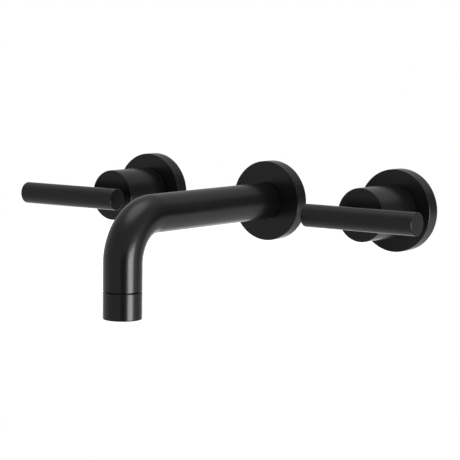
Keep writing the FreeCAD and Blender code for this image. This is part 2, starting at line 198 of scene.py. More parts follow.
def block(low, high):
    bm = bmesh.new()
    bmesh.ops.create_cube(bm, size=1.0)
    size = Vector(high) - Vector(low)
    bmesh.ops.scale(bm, vec=size, verts=bm.verts)
    bmesh.ops.translate(bm, vec=(Vector(low) + Vector(high)) / 2, verts=bm.verts)
    return bm


def sector(outer, inner, middle_deg, spread_deg, rear, front, steps=24):
    """Part of a ring, centred on middle_deg."""
    bm = bmesh.new()
    grid = []
    for step in range(steps + 1):
        angle = math.radians(middle_deg + spread_deg * (step / steps - 0.5))
        grid.append([
            (r * math.cos(angle), r * math.sin(angle), z)
            for r, z in ((inner, rear), (outer, rear), (outer, front), (inner, front), (inner, rear))
        ])
    skin(bm, grid, False)
    bmesh.ops.holes_fill(bm, edges=[edge for edge in bm.edges if edge.is_boundary], sides=4)
    bmesh.ops.recalc_face_normals(bm, faces=bm.faces)
    return bm


def moved(bm, matrix):
    bmesh.ops.transform(bm, matrix=matrix, verts=bm.verts)
    return bm


def scratch_object(bm):
    mesh = bpy.data.meshes.new("scratch")
    bm.to_mesh(mesh)
    bm.free()
    thing = bpy.data.objects.new("scratch", mesh)
    bpy.context.scene.collection.objects.link(thing)
    return thing


def carved(bm, tool, operation="DIFFERENCE"):
    """The solid with a tool solid cut out of it, or joined to it with UNION."""
    body, cutter = scratch_object(bm), scratch_object(tool)
    change = body.modifiers.new("carve", "BOOLEAN")
    change.operation = operation
    change.solver = "EXACT"
    change.object = cutter
    evaluated = body.evaluated_get(bpy.context.evaluated_depsgraph_get())
    result = bmesh.new()
    result.from_mesh(evaluated.to_mesh())
    evaluated.to_mesh_clear()
    for thing in (body, cutter):
        mesh = thing.data
        bpy.data.objects.remove(thing)
        bpy.data.meshes.remove(mesh)
    return result


def perforated(outline, holes, rear, front):
    """Flat plate with straight holes; outline and holes are closed lists of (x, y)."""
    bm = bmesh.new()
    for points in [outline] + holes:
        corners = [bm.verts.new((x, y, rear)) for x, y in points]
        for i in range(len(corners)):
            bm.edges.new((corners[i - 1], corners[i]))
    bmesh.ops.triangle_fill(bm, edges=bm.edges[:], use_beauty=True)
    lifted = bmesh.ops.extrude_face_region(bm, geom=bm.faces[:])["geom"]
    tops = [item for item in lifted if isinstance(item, bmesh.types.BMVert)]
    bmesh.ops.translate(bm, vec=(0, 0, front - rear), verts=tops)
    bmesh.ops.recalc_face_normals(bm, faces=bm.faces)
    return bm


def circle(radius, count, x=0.0, y=0.0):
    return [(x + radius * math.cos(a), y + radius * math.sin(a)) for a in even(count)]


def drill(radius, start, end):
    """Cutter along -Y, for a radial hole in the underside."""
    return moved(
        turned([(0, start), (radius, start), (radius, end), (0, end)], even(48), False),
        Matrix.Rotation(math.radians(90), 4, "X"),
    )


def finished(bm, node, upright_at=None, x=0.0):
    """Places a drawn piece for its CAD node, with that node's body, slot and material."""
    if upright_at is None:
        place = Matrix.Translation((x, 0, 0)) @ Matrix.Rotation(math.radians(90), 4, "X")
    else:
        place = Matrix.Translation((x, -upright_at, 0))
    bmesh.ops.transform(bm, matrix=Matrix.Scale(MM, 4) @ place, verts=bm.verts)
    for face in bm.faces:
        face.smooth = True
    mesh = bpy.data.meshes.new(node + "_finished")
    bm.to_mesh(mesh)
    bm.free()
    mesh.set_sharp_from_angle(angle=SHARP)
    piece = bpy.data.objects.new(node + "_finished", mesh)
    bpy.context.scene.collection.objects.link(piece)
    shade = piece.modifiers.new("weighted_normals", "WEIGHTED_NORMAL")
    shade.keep_sharp = True
    shade.weight = 80
    mesh.materials.append(MATERIALS[SLOT_OF[node]])
    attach(piece, BODY_OF[node])
    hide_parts(node)


# ================================================================ materials
def shader(name):
    """New material with its node tree and Principled shader."""
    material = bpy.data.materials.new(name)
    material.use_nodes = True
    tree = material.node_tree
    return material, tree, tree.nodes["Principled BSDF"]


def grain(tree, scale, stretch=(1, 1, 1), detail=4.0, roughness=0.55):
    """Noise in the piece's own coordinates; scale is in waves per metre."""
    nodes, links = tree.nodes, tree.links
    place = nodes.new("ShaderNodeTexCoord")
    stretcher = nodes.new("ShaderNodeMapping")
    stretcher.inputs["Scale"].default_value = stretch
    noise = nodes.new("ShaderNodeTexNoise")
    noise.inputs["Scale"].default_value = scale
    noise.inputs["Detail"].default_value = detail
    noise.inputs["Roughness"].default_value = roughness
    links.new(place.outputs["Object"], stretcher.inputs["Vector"])
    links.new(stretcher.outputs["Vector"], noise.inputs["Vector"])
    return noise.outputs["Fac"]


def cells(tree, scale):
    """Distance to the nearest cell centre, for open foam."""
    nodes, links = tree.nodes, tree.links
    place = nodes.new("ShaderNodeTexCoord")
    pattern = nodes.new("ShaderNodeTexVoronoi")
    pattern.inputs["Scale"].default_value = scale
    links.new(place.outputs["Object"], pattern.inputs["Vector"])
    return pattern.outputs["Distance"]


def remap(tree, value, low, high, source=(0.3, 0.7)):
    """Spreads a pattern's usual range over low..high."""
    node = tree.nodes.new("ShaderNodeMapRange")
    node.inputs["From Min"].default_value = source[0]
    node.inputs["From Max"].default_value = source[1]
    node.inputs["To Min"].default_value = low
    node.inputs["To Max"].default_value = high
    tree.links.new(value, node.inputs["Value"])
    return node.outputs["Result"]


def tint(tree, value, dark, light):
    """Colour between dark and light by a pattern."""
    ramp = tree.nodes.new("ShaderNodeValToRGB")
    ramp.color_ramp.elements[0].position = 0.3
    ramp.color_ramp.elements[0].color = (*dark, 1)
    ramp.color_ramp.elements[1].position = 0.7
    ramp.color_ramp.elements[1].color = (*light, 1)
    tree.links.new(value, ramp.inputs["Fac"])
    return ramp.outputs["Color"]


def relief(tree, surface, *layers):
    """Stacked bumps; each layer is (height, strength, depth in metres)."""
    normal = None
    for height, strength, depth in layers:
        bump = tree.nodes.new("ShaderNodeBump")
        bump.inputs["Strength"].default_value = strength
        bump.inputs["Distance"].default_value = depth
        tree.links.new(height, bump.inputs["Height"])
        if normal:
            tree.links.new(normal, bump.inputs["Normal"])
        normal = bump.outputs["Normal"]
    tree.links.new(normal, surface.inputs["Normal"])


def black_coating():
    """Satin black powder coat: fine even grain, faint orange peel and slightly uneven gloss."""
    material, tree, surface = shader("black_coating")
    links = tree.links
    fine, peel, patches = grain(tree, 5200, detail=2.0), grain(tree, 420, detail=2.0), grain(tree, 38)
    colour = tint(tree, patches, (0.0040, 0.0040, 0.0042), (0.0054, 0.0054, 0.0056))
    links.new(colour, surface.inputs["Base Color"])
    links.new(remap(tree, patches, 0.24, 0.27), surface.inputs["Roughness"])
    relief(tree, surface, (peel, 0.10, 0.00006), (fine, 0.14, 0.00002))
    return material


def brass():
    """Turned brass with tool lines round the axis and a light tarnish."""
    material, tree, surface = shader("brass")
    links = tree.links
    lines = grain(tree, 900, stretch=(0.03, 6.0, 0.03), detail=3.0)
    tarnish = grain(tree, 160, detail=6.0)
    links.new(tint(tree, tarnish, (0.50, 0.32, 0.105), (0.72, 0.50, 0.20)), surface.inputs["Base Color"])
    links.new(remap(tree, tarnish, 0.38, 0.22), surface.inputs["Roughness"])
    surface.inputs["Metallic"].default_value = 1.0
    relief(tree, surface, (lines, 0.25, 0.00002))
    return material


def steel(name, dark, light, rough):
    """Drawn steel with fine lines along its length."""
    material, tree, surface = shader(name)
    links = tree.links
    lines = grain(tree, 1500, stretch=(1.0, 0.08, 1.0), detail=3.0)
    links.new(tint(tree, lines, dark, light), surface.inputs["Base Color"])
    links.new(remap(tree, lines, rough - 0.06, rough + 0.06), surface.inputs["Roughness"])
    surface.inputs["Metallic"].default_value = 1.0
    relief(tree, surface, (lines, 0.2, 0.00002))
    return material


def seal_rubber():
    """Moulded black rubber with a faint bloom."""
    material, tree, surface = shader("seal_rubber")
    links = tree.links
    bloom, pores = grain(tree, 260, detail=5.0), grain(tree, 4200, detail=2.0)
    colour = tint(tree, bloom, (0.012, 0.012, 0.013), (0.030, 0.030, 0.031))
    links.new(colour, surface.inputs["Base Color"])
    links.new(remap(tree, bloom, 0.46, 0.62), surface.inputs["Roughness"])
    relief(tree, surface, (pores, 0.2, 0.00003))
    return material


def foam():
    """Closed cell foam, matt with small open pores."""
    material, tree, surface = shader("foam")
    links = tree.links
    pores = cells(tree, 1500)
    colour = tint(tree, pores, (0.016, 0.016, 0.017), (0.060, 0.060, 0.062))
    links.new(colour, surface.inputs["Base Color"])
    links.new(remap(tree, pores, 0.80, 0.95), surface.inputs["Roughness"])
    relief(tree, surface, (pores, 0.8, 0.0002))
    return material


def fibre():
    """Pressed red fibre washer."""
    material, tree, surface = shader("fibre")
    links = tree.links
    strands = grain(tree, 1300, stretch=(1.0, 0.3, 0.25), detail=6.0)
    colour = tint(tree, strands, (0.24, 0.040, 0.018), (0.46, 0.105, 0.050))
    links.new(colour, surface.inputs["Base Color"])
    links.new(remap(tree, strands, 0.55, 0.75), surface.inputs["Roughness"])
    relief(tree, surface, (strands, 0.35, 0.00005))
    return material


def ceramic():
    """Lapped alumina: off white, nearly mirror smooth, with a faint speckle."""
    material, tree, surface = shader("ceramic")
    links = tree.links
    speckle, haze = grain(tree, 3800, detail=2.0), grain(tree, 220)
    links.new(tint(tree, speckle, (0.78, 0.75, 0.68), (0.88, 0.86, 0.81)), surface.inputs["Base Color"])
    links.new(remap(tree, haze, 0.10, 0.20), surface.inputs["Roughness"])
    relief(tree, surface, (speckle, 0.04, 0.00001))
    return material


def plastic(name, dark, light):
    """Moulded acetal with a fine spark eroded texture."""
    material, tree, surface = shader(name)
    links = tree.links
    texture, flow = grain(tree, 3400, detail=3.0), grain(tree, 120, stretch=(1.0, 1.0, 0.4))
    links.new(tint(tree, flow, dark, light), surface.inputs["Base Color"])
    links.new(remap(tree, texture, 0.36, 0.48), surface.inputs["Roughness"])
    relief(tree, surface, (texture, 0.12, 0.00003))
    return material


MATERIALS = {
    "black_coating": black_coating(),
    "brass": brass(),
    "stainless": steel("stainless", (0.40, 0.40, 0.39), (0.56, 0.56, 0.55), 0.28),
    "black_steel": steel("black_steel", (0.030, 0.030, 0.033), (0.060, 0.060, 0.064), 0.38),
    "seal_rubber": seal_rubber(),
    "foam": foam(),
    "fibre": fibre(),
    "ceramic": ceramic(),
    "white_plastic": plastic("white_plastic", (0.66, 0.66, 0.63), (0.74, 0.74, 0.72)),
    "grey_plastic": plastic("grey_plastic", (0.20, 0.205, 0.21), (0.27, 0.275, 0.28)),
}


# ================================================================ rings, seals and screws
def o_ring(centre_r, section_r, front, bm=None):
    ring = [
        (centre_r + section_r * math.cos(a), front + section_r * math.sin(a)) for a in even(28)
    ]
    return turned(ring, bm=bm)


def o_ring_pair(node, section_r):
    """Two equal O-rings, one at each end of the node's length."""
    at = span(node)
    bm = o_ring(at.r - section_r, section_r, at.rear + section_r)
    return o_ring(at.r - section_r, section_r, at.front - section_r, bm)


def flat_ring(outer, inner, rear, front, soft):
    return turned(section(
        (inner, rear, soft), (outer, rear, soft), (outer, front, soft), (inner, front, soft)
    ))


def fibre_washer(node):
    at = span(node)
    return flat_ring(at.r, PIPE_CREST + 0.1, at.rear, at.front, 0.15)


def foam_gasket(node):
    """Foam ring whose cut edges bulge a little."""
    at = span(node)
    width, bulge = 3.2, 0.12
    middle = (at.rear + at.front) / 2
    return turned(section(
        (at.r - width, at.rear, 0.15), (at.r - bulge, at.rear, 0.15), (at.r, middle),
        (at.r - bulge, at.front, 0.15), (at.r - width, at.front, 0.15),
        (at.r - width + bulge, middle),
    ))


def cap_screw(shank_r, head_r, tip, seat, top, key, pitch, threaded):
    """Socket cap screw along Z with its head at the top."""
    root = shank_r - THREAD_DEPTH * pitch
    rings = [(0, tip), (root - 0.25, tip), (root, tip + 0.25)]
    rings += thread(shank_r, root, tip + 0.25, tip + threaded, pitch)
    rings += [(root, tip + threaded), (shank_r, tip + threaded + 0.3), (shank_r, seat)]
    rings += [(head_r - 0.25, seat), (head_r - 0.05, seat + 0.2), ridged(head_r, 0.12, seat + 0.35)]
    rings += [ridged(head_r, 0.12, top - 0.55), (head_r - 0.12, top - 0.45)]
    rings += [(head_r - 0.28, top - 0.12), (head_r - 0.55, top)]
    rings += socket(key, top, (top - seat) * 0.62)
    return turned(rings, even(THREAD_COLUMNS), False)


def grub_screw(node):
    """Headless M5 screw with a cone point, driven in from the underside."""
    at = span(node)
    tip, top, cone_r, cone, deepest = -at.top, -at.bottom, 1.1, 0.7, 2.6
    root = M5_R - THREAD_DEPTH * M5_PITCH
    rings = [(0, tip), (cone_r, tip), (root, tip + cone)]
    rings += thread(M5_R, root, tip + cone, top - 0.15, M5_PITCH)
    rings += [(root, top - 0.15), (root - 0.1, top)]
    rings += socket(M5_GRUB_KEY, top, min(deepest, (top - tip) * 0.5))
    bm = turned(rings, even(THREAD_COLUMNS), False)
    moved(bm, Matrix.Rotation(math.radians(90), 4, "X"))
    return moved(bm, Matrix.Translation((0, 0, (at.rear + at.front) / 2)))


# ================================================================ cover plates
def valve_plate(node):
    at = span(node)
    hole = 10.2
    return turned(section(
        (hole, at.front - PLATE_FACE, 0.2), (at.r - PLATE_RIM, at.front - PLATE_FACE, CAVITY_SOFT),
        (at.r - PLATE_RIM, at.rear, 0.2), (at.r, at.rear, 0.3), (at.r, at.front, PLATE_EDGE),
        (hole, at.front, 0.3),
    ), even(240))


def spout_plate(node):
    """Its deeper boss has a groove for the O-ring that centres it on the tube."""
    at = span(node)
    tube_r = span("spout_tube").r
    hole = tube_r + 0.15
    boss_r, boss_rear = tube_r + 4.1, at.front - 4.7
    groove_r, groove_rear, groove_front = tube_r + 1.7, at.front - 3.6, at.front - 1.6
    return turned(section(
        (hole, boss_rear, 0.3), (boss_r, boss_rear, 0.3), (boss_r, at.front - PLATE_FACE, 0.5),
        (at.r - PLATE_RIM, at.front - PLATE_FACE, CAVITY_SOFT), (at.r - PLATE_RIM, at.rear, 0.2),
        (at.r, at.rear, 0.3), (at.r, at.front, PLATE_EDGE), (hole, at.front, 0.2),
        (hole, groove_front), (groove_r, groove_front), (groove_r, groove_rear), (hole, groove_rear),
    ), even(240))


# ================================================================ valve pieces
def retaining_nut(node):
    """Slotted ring nut with a straight knurl."""
    at = span(node)
    root = BARREL_R + FIT
    thread_r, ridges, deep, shallow = root + 0.5, 72, 0.22, 0.1
    rings = [(thread_r, at.rear), (at.r - 0.5, at.rear)]
    rings += [ridged(at.r - 0.1, shallow, at.rear + 0.4, ridges), ridged(at.r, deep, at.rear + 0.6, ridges)]
    rings += [ridged(at.r, deep, at.front - 0.8, ridges)]
    rings += [ridged(at.r - 0.2, shallow, at.front - 0.5, ridges)]
    rings += [(at.r - 0.7, at.front), (thread_r, at.front)]
    rings += reversed(thread(root, thread_r, at.rear, at.front, BARREL_PITCH))
    nut = turned(rings, even(4 * ridges))
    slot_floor, slot_mouth, slot_half = 12.0, 15.0, 1.5
    for quarter in range(4):
        slot = block((slot_floor, -slot_half, at.rear - 1), (slot_mouth, slot_half, at.front + 1))
        nut = carved(nut, moved(slot, Matrix.Rotation(math.radians(45 + 90 * quarter), 4, "Z")))
    return nut


def cartridge_body(node):
    """Brass headwork: port cage, pipe thread, collar, hexagon and threaded barrel."""
    at = span(node)
    cage_r, disc_bore, stem_bore, neck_r, mouth_r = 8.9, 7.6, 5.5, 8.2, 4.75
    tail, washer, collar_front, hex_front, barrel_front, disc_seat = -9.0, 1.2, 2.8, 7.4, 21.0, -6.0
    collar_r, across_flats, pipe_end = 13.0, 22.0, -0.8
    bevel_r = across_flats / 2 * 1.01
    rings = section((disc_bore, at.rear), (cage_r, at.rear, 0.3), (cage_r, tail))
    rings += [(PIPE_ROOT, tail)] + thread(PIPE_CREST, PIPE_ROOT, tail, pipe_end, PIPE_PITCH)
    rings += section(
        (PIPE_ROOT, pipe_end), (PIPE_ROOT, -0.1), (PIPE_CREST - 0.4, 0), (PIPE_CREST - 0.4, washer),
        (collar_r, washer, 0.3), (collar_r, collar_front, 0.3), (bevel_r, collar_front),
    )
    rings += [hex_ring(across_flats, collar_front), hex_ring(across_flats, hex_front, bevel_r, 1)]
    rings += [(bevel_r, hex_front), (BARREL_ROOT, hex_front), (BARREL_ROOT, hex_front + 0.8)]
    rings += thread(BARREL_R, BARREL_ROOT, hex_front + 0.8, barrel_front - 0.3, BARREL_PITCH)
    rings += section(
        (BARREL_ROOT, barrel_front - 0.3), (BARREL_ROOT - 0.3, barrel_front), (neck_r, barrel_front),
        (neck_r, at.front, 0.4), (mouth_r, at.front, 0.3), (mouth_r, at.front - 1.5),
        (stem_bore, at.front - 1.5), (stem_bore, disc_seat), (disc_bore, disc_seat),
    )
    body = turned(rings, even(THREAD_COLUMNS))
    window_rear, window_front, window_deg = -12.4, -9.6, 70
    for side in (90, 270):
        window = sector(cage_r + 1, disc_bore - 0.5, side, window_deg, window_rear, window_front)
        body = carved(body, window)
    stop_r, stop_deg, stop_rear, stop_front = 6.3, 40, -9.2, -6.95
    return carved(body, sector(disc_bore + 0.4, stop_r, 0, stop_deg, stop_rear, stop_front), "UNION")


def thrust_washer(node):
    at = span(node)
    return flat_ring(at.r, 5.6, at.rear, at.front, 0.1)


def inlet_seal(node):
    """Rubber seal with a rounded lip towards the valve seat."""
    at = span(node)
    bore = 4.7
    return turned(section(
        (bore, at.rear, 0.4), (at.r - 0.55, at.rear, 0.4), (at.r - 0.3, at.rear + 0.7, 0.3),
        (at.r, at.rear + 1.1, 0.3), (at.r, at.front, 0.2), (bore, at.front, 0.2),
    ))


def spline_angles():
    """Angles at the corners of every tooth, as shares of a tooth's pitch."""
    shares = (0.0, 0.15, 0.30, 0.45, 0.65, 0.85)
    return [(k + share) * TAU / SPLINE_TEETH for k in range(SPLINE_TEETH) for share in shares]


def spline_ring(front, grow=0.0, trim=0.0):
    """Ring of the splined drive; trim turns its teeth down for a lead-in."""
    tip_start, tip_end = 0.375, 0.925

    def point(angle):
        share = angle * SPLINE_TEETH / TAU % 1.0
        on_tip = tip_start < share < tip_end
        return (max(SPLINE_ROOT, SPLINE_TIP - trim) if on_tip else SPLINE_ROOT) + grow, front
    return point


def stem(node):
    """Spindle with a stop shoulder, drive tongue, O-ring grooves and splined tip."""
    at = span(node)
    shaft_r, groove_r, shoulder_r, neck_r, clip_r = 5.4, 3.85, 7.3, 4.65, 3.9
    shoulder_rear, shoulder_front, shaft_front, spline_rear = -9.2, -6.9, 25.2, 28.8
    rear_groove, rear_land, front_groove, front_land = 12.0, 14.2, 17.0, 19.2
    clip_rear, clip_front, hole_end, hole_point = 27.3, 28.3, 26.0, 25.0
    rings = section(
        (0, shoulder_rear), (shoulder_r, shoulder_rear, 0.2), (shoulder_r, shoulder_front, 0.2),
        (shaft_r, shoulder_front), (shaft_r, rear_groove, 0.15), (groove_r, rear_groove),
        (groove_r, rear_land), (shaft_r, rear_land, 0.15), (shaft_r, front_groove, 0.15),
        (groove_r, front_groove), (groove_r, front_land), (shaft_r, front_land, 0.15),
        (shaft_r, shaft_front, 0.3), (neck_r, shaft_front), (neck_r, clip_rear), (clip_r, clip_rear),
        (clip_r, clip_front), (neck_r, clip_front), (neck_r, spline_rear, 0.2), (SPLINE_TIP, spline_rear),
    )
    rings += [spline_ring(spline_rear), spline_ring(at.front - 0.5), spline_ring(at.front, trim=0.5)]
    rings += [(M4_R + 0.4, at.front), (M4_R + FIT, at.front - 0.4), (M4_R + FIT, hole_end), (0, hole_point)]
    shaft = turned(rings, spline_angles(), False)
    tongue = block((-5.0, -1.5, shoulder_rear - 1.4), (5.0, 1.5, shoulder_rear + 0.3))
    shaft = carved(shaft, tongue, "UNION")
    return carved(shaft, sector(8.5, 6.2, -45, 132, shoulder_rear - 0.01, shoulder_front + 0.01, 48))


def stem_o_rings(node):
    return o_ring_pair(node, 0.75)


def circlip(node):
    """Open ring with a plier hole beside each end."""
    at = span(node)
    inner, hole_r, hole_deg = 3.95, 0.55, 31
    clip = sector(at.r, inner, 270, 315, at.rear, at.front, 72)
    rear, front = at.rear - 1, at.front + 1
    for side in (-1, 1):
        hole = turned([(0, rear), (hole_r, rear), (hole_r, front), (0, front)], even(24), False)
        angle = math.radians(90 + side * hole_deg)
        reach = (at.r + inner) / 2
        place = Matrix.Translation((reach * math.cos(angle), reach * math.sin(angle), 0))
        clip = carved(clip, moved(hole, place))
    return clip


def spline_adapter(node):
    at = span(node)
    groove_r, socket_end, web_front = at.r - 1.0, 36.4, 38.0
    middle = span(node.replace("spline_adapter", "hub_grub_screw"))
    lock = (middle.rear + middle.front) / 2
    rings = section(
        (SPLINE_TIP + 0.5, at.rear), (at.r, at.rear, 0.4), (at.r, lock - 3.0), (groove_r, lock - 2.0),
        (groove_r, lock + 2.0), (at.r, lock + 3.0), (at.r, at.front, 0.4), (3.8, at.front, 0.3),
        (3.8, web_front), (M4_R + 0.15, web_front), (M4_R + 0.15, socket_end),
        (SPLINE_ROOT - 0.2, socket_end),
    )
    rings += [spline_ring(socket_end, FIT), spline_ring(at.rear + 0.5, FIT)]
    return turned(rings, spline_angles())


def adapter_screw(node):
    at = span(node)
    head, key, threaded = 2.2, 2.5, 9.0
    return cap_screw(M4_R, at.r, at.rear, at.front - head, at.front, key, M4_PITCH, threaded)


def handle_hub(node):
    """Deep turned cup with a grub screw hole underneath and a counterbore for the post."""
    at = span(node)
    post = span(node.replace("handle_hub", "lever_post"))
    screw = span(node.replace("handle_hub", "lever_screw"))
    grub = span(node.replace("handle_hub", "hub_grub_screw"))
    adapter = span(node.replace("handle_hub", "spline_adapter"))
    lock, seat = (grub.rear + grub.front) / 2, screw.rear + 4.0
    cup_r, cup_front, head_r = 14.3, 28.5, 5.0
    bore, collar = adapter.r + FIT, adapter.front + 0.8
    hub = turned(section(
        (cup_r, at.rear, 0.2), (at.r, at.rear, 0.3), (at.r, lock - 4), (at.r, lock + 4),
        (at.r, at.front, 0.5), (post.r + FIT, at.front, 0.15), (post.r + FIT, post.rear),
        (M5_R + 0.25, post.rear), (M5_R + 0.25, seat), (head_r, seat), (head_r, collar),
        (bore, collar), (bore, cup_front, 0.3), (cup_r, cup_front, 0.5),
    ), even(240))
    hole = moved(drill(M5_R + FIT, 8.0, at.r + 1), Matrix.Translation((0, 0, lock)))
    return carved(hub, hole)


def lever_post(node):
    at = span(node)
    bore = M5_R + 0.25
    return turned(section(
        (bore, at.rear, 0.3), (at.r, at.rear, 0.3), (at.r, at.front, 0.3), (bore, at.front, 0.3)
    ))


def lever_screw(node):
    """Cap screw driven from inside the hub, so its tip points to the front."""
    at = span(node)
    length, head, key, threaded = at.front - at.rear, 4.0, 4.0, 16.0
    screw = cap_screw(M5_R, at.r, 0.0, length - head, length, key, M5_PITCH, threaded)
    turn = Matrix.Translation((0, 0, at.front)) @ Matrix.Rotation(math.pi, 4, "X")
    return moved(screw, turn)


def lever_rod(node):
    """Solid round bar with softened ends, cross drilled for the post and the lever screw."""
    at = span(node)
    post, screw = (span(node.replace("lever_rod", name)) for name in ("lever_post", "lever_screw"))
    radius, centre = (at.front - at.rear) / 2, (at.front + at.rear) / 2
    inner, outer = sorted((abs(at.left - post.x), abs(at.right - post.x)))
    soft, near = 0.5, 7.0
    bar = turned(section(
        (0, -outer), (radius, -outer, soft), (radius, -near), (radius, near), (radius, inner, soft),
        (0, inner),
    ), even(192), False)
    bar = moved(bar, Matrix.Translation((0, 0, centre)) @ Matrix.Rotation(math.radians(90), 4, "Y"))
    bore = turned([
        (0, centre - radius - 1), (post.r + FIT, centre - radius - 1), (post.r + FIT, post.front),
        (M5_R + FIT, post.front), (M5_R + FIT, screw.front + 1.5), (0, screw.front + 2.5),
    ], even(72), False)
    return carved(bar, bore)


# ================================================================ spout pieces
def spout_cover_o_ring(node):
    at = span(node)
    section_r = 0.81
    return o_ring(at.r - section_r, section_r, (at.rear + at.front) / 2)


def spout_nipple(node):
    """Pipe thread, hexagon, and the plug with two O-ring grooves and a locking groove."""
    at = span(node)
    bore, washer, hex_front, across_flats = 5.5, 1.5, 5.2, 24.0
    groove_r, lock_r, lock, pipe_end = 7.85, 8.5, 28.5, -0.8
    rear_groove, rear_land, front_groove, front_land = 13.5, 15.7, 19.5, 21.7
    rings = [(bore, at.rear + 0.4), (bore + 0.4, at.rear), (PIPE_ROOT, at.rear)]
    rings += thread(PIPE_CREST, PIPE_ROOT, at.rear, pipe_end, PIPE_PITCH)
    rings += [(PIPE_ROOT, pipe_end), (PIPE_ROOT, -0.1), (PIPE_CREST - 0.4, 0), (PIPE_CREST - 0.4, washer)]
    rings += hex_nut(across_flats, washer, hex_front)
    rings += section(
        (PLUG_R, hex_front), (PLUG_R, rear_groove, 0.15), (groove_r, rear_groove), (groove_r, rear_land),
        (PLUG_R, rear_land, 0.15), (PLUG_R, front_groove, 0.15), (groove_r, front_groove),
        (groove_r, front_land), (PLUG_R, front_land, 0.15), (PLUG_R, lock - 2.9), (lock_r, lock - 2.1),
        (lock_r, lock + 2.1), (PLUG_R, lock + 2.9), (PLUG_R, at.front, 0.6), (bore, at.front, 0.4),
        (bore, lock),
    )
    return turned(rings, even(THREAD_COLUMNS))


def spout_nipple_o_rings(node):
    return o_ring_pair(node, 0.8)


def spout_tube(node):
    """Round tube with one bend, its ends lightly broken and a threaded hole underneath."""
    at = span(node)
    radius, bore, bend_r, edge = at.r, TUBE_BORE, 29.3, 0.25
    reach = at.front - radius
    straight_end = reach - bend_r
    grub = span("spout_grub_screw")
    lock = (grub.rear + grub.front) / 2

    def station(length):
        """Centre and upward normal of the section at a length along the tube."""
        if length <= straight_end:
            return Vector((0, 0, length)), Vector((0, 1, 0))
        turn = (length - straight_end) / bend_r
        if turn <= math.pi / 2:
            normal = Vector((0, math.cos(turn), math.sin(turn)))
            return Vector((0, -bend_r, straight_end)) + normal * bend_r, normal
        down = length - straight_end - bend_r * math.pi / 2
        return Vector((0, -bend_r - down, reach)), Vector((0, 0, 1))

    end = straight_end + bend_r * math.pi / 2 + (-at.bottom - bend_r)
    bend_steps = 60
    lengths = [at.rear + edge, lock - 5, lock + 5, straight_end]
    lengths += [straight_end + bend_r * math.pi / 2 * (k + 1) / bend_steps for k in range(bend_steps)]
    lengths += [end - edge]
    rings = [(bore + edge, at.rear), (radius - edge, at.rear)] + [(radius, s) for s in lengths]
    rings += [(radius - edge, end), (bore + edge, end)] + [(bore, s) for s in reversed(lengths)]
    grid = []
    for ring_r, length in rings:
        centre, normal = station(length)
        grid.append([
            centre + ring_r * (math.cos(a) * Vector((1, 0, 0)) + math.sin(a) * normal)
            for a in even(COLUMNS) + [TAU]
        ])
    tube = bmesh.new()
    skin(tube, grid, True)
    bmesh.ops.recalc_face_normals(tube, faces=tube.faces)
    hole = moved(drill(M5_R + FIT, bore - 2, radius + 1), Matrix.Translation((0, 0, lock)))
    return carved(tube, hole)


# ================================================================ outlet pieces, drawn upright
def outlet_spigot(node):
    """Threaded end whose plug sits in the tube; the seam shows the end of its thread."""
    at = span(node)
    bore, neck = 7.4, span("spout_tube").bottom - FIT
    rings = [(bore, at.bottom + 0.2), (bore + 0.2, at.bottom), (BARREL_ROOT, at.bottom)]
    rings += thread(BARREL_R, BARREL_ROOT, at.bottom, neck - 1.0, BARREL_PITCH)
    rings += section(
        (BARREL_ROOT, neck - 1.0), (BARREL_ROOT, neck - 0.7), (BARREL_R, neck - 0.5), (BARREL_R, neck),
        (PLUG_R, neck), (PLUG_R, at.top, 0.3), (bore, at.top, 0.2), (bore, neck),
    )
    return turned(rings, even(THREAD_COLUMNS))


def outlet_sleeve(node):
    """Sleeve with an inner thread and a ledge that holds the aerator."""
    at, housing = span(node), span("aerator_housing")
    root, thread_bottom = BARREL_R + 0.5, housing.top + 1.6
    mouth_r, seat_r, ledge = 8.2, housing.r - 0.55, housing.top - 1.15
    rings = section(
        (seat_r, ledge), (seat_r, housing.bottom - 0.1), (mouth_r, housing.bottom - 0.1),
        (mouth_r, at.bottom, 0.3), (at.r, at.bottom, 0.7), (at.r, at.top, 0.25), (root, at.top, 0.2),
        (root, at.top - 0.5),
    )
    rings += reversed(thread(BARREL_R + FIT, root, thread_bottom, at.top - 0.5, BARREL_PITCH))
    rings += [(root, thread_bottom), (BARREL_R + FIT, housing.top + 1.2), (BARREL_R + FIT, ledge)]
    return turned(rings, even(192))


def aerator_washer(node):
    at = span(node)
    return flat_ring(at.r, 7.0, at.bottom, at.top, 0.3)


def aerator_housing(node):
    at = span(node)
    bore, lip, wall_r, rim = 8.0, 7.5, at.r - 0.65, at.top - 1.1
    return turned(section(
        (bore, at.top, 0.2), (at.r, at.top, 0.25), (at.r, rim, 0.2), (wall_r, rim),
        (wall_r, at.bottom, 0.3), (lip, at.bottom, 0.1), (lip, at.bottom + 0.4),
        (bore, at.bottom + 0.4),
    ))


def aerator_diffuser(node):
    """Jet plate with two rings of drillings, on a skirt."""
    at = span(node)
    skirt_r, hole_r, plate = 7.0, 0.5, at.top - 1.3
    body = turned(section(
        (0, plate), (skirt_r, plate), (skirt_r, at.bottom, 0.1), (at.r, at.bottom, 0.1),
        (at.r, at.top, 0.2), (0, at.top),
    ), closed=False)
    drills = bmesh.new()
    for ring_r, count in ((3.0, 8), (5.8, 16)):
        for angle in even(count):
            before = list(drills.verts)
            hole = [(0, plate - 1), (hole_r, plate - 1), (hole_r, at.top + 1), (0, at.top + 1)]
            turned(hole, even(20), False, drills)
            new = [v for v in drills.verts if v not in set(before)]
            shift = (ring_r * math.cos(angle), ring_r * math.sin(angle), 0)
            bmesh.ops.translate(drills, vec=shift, verts=new)
    return carved(body, drills)


